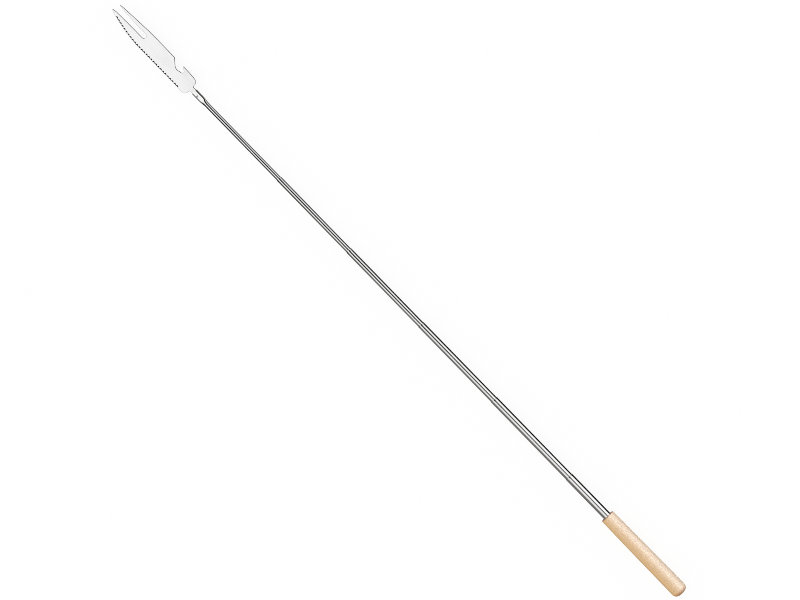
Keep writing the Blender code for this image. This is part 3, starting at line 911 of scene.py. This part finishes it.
def blade_sheet(base_x, half_thickness):
    """The stamped sheet, with rolled edges, as rings from the upper side round to the lower."""
    points = refined(eased(outline(), CORNER_RADIUS, FINE_STEPS), OUTLINE_STEP)
    normals = inward_normals(points)
    limits = room(points, normals)
    rings = []
    for step in range(-EDGE_ROLL_STEPS, EDGE_ROLL_STEPS + 1):
        if step == 0:
            continue
        angle = math.pi / 2 * (1 - (abs(step) - 1) / (EDGE_ROLL_STEPS - 1))
        inset = EDGE_ROLL * (1 - math.cos(angle))
        height = half_thickness - EDGE_ROLL * (1 - math.sin(angle))
        rings.append((inset, math.copysign(height, -step)))
    ordered = sorted(rings, key=lambda ring: -ring[1])
    support = EDGE_ROLL + EDGE_SUPPORT
    ordered = [(support, half_thickness)] + ordered + [(support, -half_thickness)]
    shape = bmesh.new()
    loops = []
    for inset, height in ordered:
        loop = []
        for (u, y), normal, limit in zip(points, normals, limits):
            move = min(inset, limit)
            loop.append(
                shape.verts.new((base_x + u + normal.x * move, y + normal.y * move, height))
            )
        loops.append(loop)
    for first, second in zip(loops, loops[1:]):
        join_rings(shape, first, second)
    # The sheet's edge walls take the near-black steel: a painted dark reflection that draws the dark
    # lines along the edges.
    for face in shape.faces:
        heights = [abs(corner.co.z) for corner in face.verts]
        if max(heights) < half_thickness - PAINTED_DARK_EDGE_BELOW * EDGE_ROLL:
            face.material_index = 1
    flats = [shape.faces.new(loops[0]), shape.faces.new(reversed(loops[-1]))]
    shape.normal_update()
    bmesh.ops.triangulate(shape, faces=flats)
    return mesh_from(shape, "fork_blade", BLADE_SHARP_ANGLE)


def gullet_cutter(base_x, half_thickness, material):
    """Tilted cylinders that grind the gullets from the upper side, as one cutter."""
    shape = bmesh.new()
    for number in range(GULLET_COUNT):
        u = GULLET_FIRST_U - number * GULLET_PITCH
        rise = nose_y(u + SLOPE_REACH) - nose_y(u - SLOPE_REACH)
        slope = math.atan2(rise, 2 * SLOPE_REACH)
        lowest = Vector((0.0, GULLET_RADIUS / math.sin(GULLET_TILT), -half_thickness))
        turn = Matrix.Rotation(slope, 4, "Z")
        tilt = Matrix.Rotation(math.pi / 2 - GULLET_TILT, 4, "X")
        centre = Vector((base_x + u, nose_y(u), 0.0)) + turn @ lowest
        bmesh.ops.create_cone(
            shape,
            cap_ends=True,
            segments=CUTTER_SEGMENTS,
            radius1=GULLET_RADIUS,
            radius2=GULLET_RADIUS,
            depth=CUTTER_LENGTH,
            matrix=Matrix.Translation(centre) @ turn @ tilt,
        )
    mesh = mesh_from(shape, "gullet_cutter")
    # The cutter carries the near-black steel onto the gullet faces: a painted dark reflection.
    mesh.materials.append(material)
    cutter = bpy.data.objects.new("gullet_cutter", mesh)
    bpy.context.scene.collection.objects.link(cutter)
    return cutter


def rivet_place():
    low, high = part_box("tang_rivet")
    return (low + high) / 2, (high.x - low.x) / 2, high.z


def blade(body, satin, edge_painted_dark, gullet_painted_dark):
    low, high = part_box("blade")
    base_x = low.x + TANG_LENGTH
    sheet = blade_sheet(base_x, high.z)
    piece = add_piece("fork_blade", sheet, satin, body, "blade")
    # The second slot holds the near-black edge steel, a painted dark reflection.
    sheet.materials.append(edge_painted_dark)
    sheet.materials.append(gullet_painted_dark)
    # The gullets take near-black steel, a painted dark reflection in the hollows.
    cutter = gullet_cutter(base_x, high.z, gullet_painted_dark)
    boolean = piece.modifiers.new("serrations", "BOOLEAN")
    boolean.operation = "DIFFERENCE"
    boolean.object = cutter
    boolean.material_mode = "TRANSFER"
    bpy.context.view_layer.update()
    evaluated = piece.evaluated_get(bpy.context.evaluated_depsgraph_get())
    cut = bpy.data.meshes.new_from_object(evaluated)
    piece.modifiers.remove(boolean)
    piece.data = cut
    bpy.data.objects.remove(cutter)
    cut.set_sharp_from_angle(angle=BLADE_SHARP_ANGLE)


def rivet(body, material):
    """A small rivet with low domed heads."""
    centre, head, top = rivet_place()
    under = PRESS_HALF_HEIGHT
    profile = [(0.0, top)]
    profile += arc(0.0, under, head, top - under, *RIVET_CROWN_ARC, 2 * FINE_STEPS)
    profile += [(RIVET_SHANK_RADIUS, under)]
    profile += [(radius, -z) for radius, z in reversed(profile)]
    shape = bmesh.new()
    rings = []
    for radius, z in profile:
        if radius == 0.0:
            rings.append([shape.verts.new((centre.x, centre.y, z))])
            continue
        ring = []
        for step in range(RIVET_SEGMENTS):
            angle = 2 * math.pi * step / RIVET_SEGMENTS
            x = centre.x + radius * math.cos(angle)
            ring.append(shape.verts.new((x, centre.y + radius * math.sin(angle), z)))
        rings.append(ring)
    for first, second in zip(rings, rings[1:]):
        join_rings(shape, first, second)
    mesh = mesh_from(shape, "tang_pin")
    add_piece("tang_pin", mesh, material, body, "tang_rivet")


# ---------------------------------------------------------------- stage


def degrees_round(value):
    """A ramp's position for an angle round the shaft."""
    return (value + 180.0) / 360.0


def band(tree, angle, stops):
    turn = calc(tree, "ADD", calc(tree, "DIVIDE", angle, 2 * math.pi), 0.5)
    return ramp(tree, turn, [(degrees_round(degrees), value) for degrees, value in stops])


def between(tree, rear_part, front_part, values):
    """A value that goes from its rear to its middle to its front value along the shaft."""
    rear, middle, front = values
    first = calc(tree, "MULTIPLY", rear_part, middle - rear)
    second = calc(tree, "MULTIPLY", front_part, front - middle)
    return calc(tree, "ADD", calc(tree, "ADD", first, second), rear)


def sky():
    """Soft studio light, set by the angle round the shaft, as the camera sees it.

    Two broad panels stand either side of the camera, which leaves a dark gap between them. The
    gap widens towards the tines.
    """
    world = bpy.data.worlds.new("studio")
    world.use_nodes = True
    bpy.context.scene.world = world
    tree = world.node_tree
    tree.nodes.clear()
    coordinates = tree.nodes.new("ShaderNodeTexCoord")
    turned = add(tree, "ShaderNodeVectorRotate", {"rotation_type": "X_AXIS"}, Angle=-VIEW_TILT)
    tree.links.new(coordinates.outputs["Generated"], turned.inputs["Vector"])
    split = add(tree, "ShaderNodeSeparateXYZ", Vector=turned.outputs[0])
    aside = calc(tree, "MULTIPLY", split.outputs["Y"], -1.0)
    angle = calc(tree, "ARCTAN2", aside, split.outputs["Z"])
    from_rear = calc(tree, "SUBTRACT", split.outputs["X"], REAR_X)
    share = calc(tree, "DIVIDE", from_rear, FRONT_X - REAR_X, clamp=True)
    rear_part = calc(tree, "MULTIPLY", share, 2.0, clamp=True)
    front_part = calc(tree, "SUBTRACT", calc(tree, "MULTIPLY", share, 2.0), 1.0, clamp=True)
    middle = band(tree, angle, PANELS_MIDDLE)
    panels = mix_colour(tree, rear_part, band(tree, angle, PANELS_REAR), middle)
    panels = mix_colour(tree, front_part, panels, band(tree, angle, PANELS_FRONT))
    half = between(tree, rear_part, front_part, GAP_HALF_WIDTH)
    centre = between(tree, rear_part, front_part, GAP_CENTRE)
    gap_light = between(tree, rear_part, front_part, GAP_LIGHT)
    off = calc(tree, "ABSOLUTE", calc(tree, "SUBTRACT", angle, centre))
    beyond = calc(tree, "DIVIDE", calc(tree, "SUBTRACT", off, half), GAP_SOFTNESS)
    outside = calc(tree, "ADD", beyond, 0.5, clamp=True)
    mirrored = mix_colour(tree, outside, gap_light, panels)
    soft = band(tree, angle, SOFT_LIGHT)
    path = tree.nodes.new("ShaderNodeLightPath")
    light = mix_colour(tree, path.outputs["Is Diffuse Ray"], mirrored, soft)
    shown = mix_colour(tree, path.outputs["Is Camera Ray"], light, BACKDROP)
    background = add(tree, "ShaderNodeBackground", Color=shown, Strength=1.0)
    output = tree.nodes.new("ShaderNodeOutputWorld")
    tree.links.new(background.outputs[0], output.inputs["Surface"])


def handle_lamp(piece):
    """The lamp, linked to the handle alone."""
    data = bpy.data.lights.new("handle_lamp", "AREA")
    data.shape = "RECTANGLE"
    data.size, data.size_y = LAMP_SIZE
    data.energy = LAMP_POWER
    data.color = LAMP_COLOUR
    lamp = bpy.data.objects.new("handle_lamp", data)
    bpy.context.scene.collection.objects.link(lamp)
    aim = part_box("handle")[0].lerp(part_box("handle")[1], 0.5)
    away = Vector((LAMP_AHEAD, -math.sin(LAMP_ANGLE), math.cos(LAMP_ANGLE)))
    lamp.location = aim + LAMP_DISTANCE * away
    lamp.rotation_euler = away.to_track_quat("Z", "X").to_euler()
    lamp.visible_camera = False
    lamp.visible_diffuse = False
    lit = bpy.data.collections.new("handle_only")
    lit.objects.link(piece)
    lamp.light_linking.receiver_collection = lit


def floor():
    """A white floor under the fork. Seen from below it is clear."""
    low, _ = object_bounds()
    size = FLOOR_HALF_SIZE
    mesh = bpy.data.meshes.new("floor")
    corners = [(-size, -size), (size, -size), (size, size), (-size, size)]
    height = low.z - FLOOR_GAP
    mesh.from_pydata([(x, y, height) for x, y in corners], [], [(0, 1, 2, 3)])
    piece = bpy.data.objects.new("floor", mesh)
    bpy.context.scene.collection.objects.link(piece)
    piece.visible_glossy = False
    piece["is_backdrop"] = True
    material, tree, shader = new_material("floor")
    feed(tree, shader, "Base Color", FLOOR_GREY)
    feed(tree, shader, "Roughness", FLOOR_ROUGHNESS)
    glow = add(tree, "ShaderNodeEmission", Color=WHITE, Strength=FLOOR_GLOW)
    bounce = add(tree, "ShaderNodeEmission", Color=WHITE, Strength=FLOOR_BOUNCE)
    path = tree.nodes.new("ShaderNodeLightPath")
    lit = add(tree, "ShaderNodeMixShader", Fac=path.outputs["Is Camera Ray"])
    tree.links.new(bounce.outputs[0], lit.inputs[1])
    soft = add(tree, "ShaderNodeMixShader", Fac=FLOOR_GLOW_SHARE)
    tree.links.new(shader.outputs[0], soft.inputs[1])
    tree.links.new(glow.outputs[0], soft.inputs[2])
    tree.links.new(soft.outputs[0], lit.inputs[2])
    clear = add(tree, "ShaderNodeBsdfTransparent")
    facing = tree.nodes.new("ShaderNodeNewGeometry")
    one_sided = add(tree, "ShaderNodeMixShader", Fac=facing.outputs["Backfacing"])
    tree.links.new(lit.outputs[0], one_sided.inputs[1])
    tree.links.new(clear.outputs[0], one_sided.inputs[2])
    output = tree.nodes["Material Output"]
    tree.links.new(one_sided.outputs[0], output.inputs["Surface"])
    mesh.materials.append(material)


def camera():
    data = bpy.data.cameras.new("camera")
    data.sensor_width = SENSOR_WIDTH
    data.lens = SENSOR_WIDTH * VIEW_DISTANCE / VIEW_WIDTH
    eye = bpy.data.objects.new("camera", data)
    bpy.context.scene.collection.objects.link(eye)
    tilt = Matrix.Rotation(VIEW_TILT, 4, "X")
    roll = Matrix.Rotation(VIEW_ROLL, 4, "Z")
    target = Vector((VIEW_AHEAD, VIEW_ASIDE, 0.0))
    back = tilt @ Vector((0.0, 0.0, VIEW_DISTANCE))
    eye.matrix_world = Matrix.Translation(target + back) @ tilt @ roll
    data.clip_start = CLIP_START
    data.clip_end = CLIP_END
    bpy.context.scene.camera = eye


def whole_fork():
    wood = beech()
    polished = steel("polished_steel", (0.9, 0.9, 0.895), 0.045, (40.0, 3000.0, 3000.0), 0.000004)
    satin = steel("satin_steel", (0.91, 0.91, 0.91), 0.14, (60.0, 2500.0, 2500.0), 0.00001)
    # Near-black steel for the gullets: painted dark reflection in the hollow serrations.
    gullet_painted_dark = steel("gullet_painted_dark_steel", (0.05, 0.05, 0.051), 0.2, (4000.0, 400.0, 400.0), 0.00001)
    spring_steel = steel("spring_steel", (0.6, 0.6, 0.61), 0.25, (300.0, 2500.0, 2500.0), 0.00001)
    # Near-black steel for the blade's edge walls: painted dark reflection.
    edge_painted_dark = steel("edge_painted_dark_steel", (0.05, 0.05, 0.05), 0.25, (400.0, 400.0, 4000.0), 0.00002)
    dull = steel("rivet_steel", (0.6, 0.57, 0.55), 0.35, (900.0, 900.0, 900.0), 0.00002)
    yellow = brass()
    handle_lamp(handle("handle", wood))
    plug("handle", yellow)
    round_tube(6, "handle", polished)
    for number in (5, 4, 3, 2, 1):
        section = f"section_{number}"
        if number > 1:
            round_tube(number, section, polished)
        bush(number, section, yellow)
        half_spring(number, "a", math.radians(90.0), f"springs_{number}", spring_steel)
        half_spring(number, "b", math.radians(270.0), f"springs_{number}", spring_steel)
    flattened_tube("section_1", polished)
    blade("section_1", satin, edge_painted_dark, gullet_painted_dark)
    rivet("section_1", dull)


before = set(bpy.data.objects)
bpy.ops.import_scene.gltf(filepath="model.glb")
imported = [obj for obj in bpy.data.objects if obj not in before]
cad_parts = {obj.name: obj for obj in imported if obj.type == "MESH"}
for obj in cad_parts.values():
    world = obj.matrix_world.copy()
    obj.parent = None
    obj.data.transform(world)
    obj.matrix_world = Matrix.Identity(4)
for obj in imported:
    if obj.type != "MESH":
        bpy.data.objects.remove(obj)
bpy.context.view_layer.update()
whole_fork()
sky()
floor()
camera()
bpy.context.scene.view_settings.view_transform = "Standard"
bpy.context.scene.cycles.filter_width = PIXEL_FILTER
bpy.context.scene.cycles.use_denoising = False
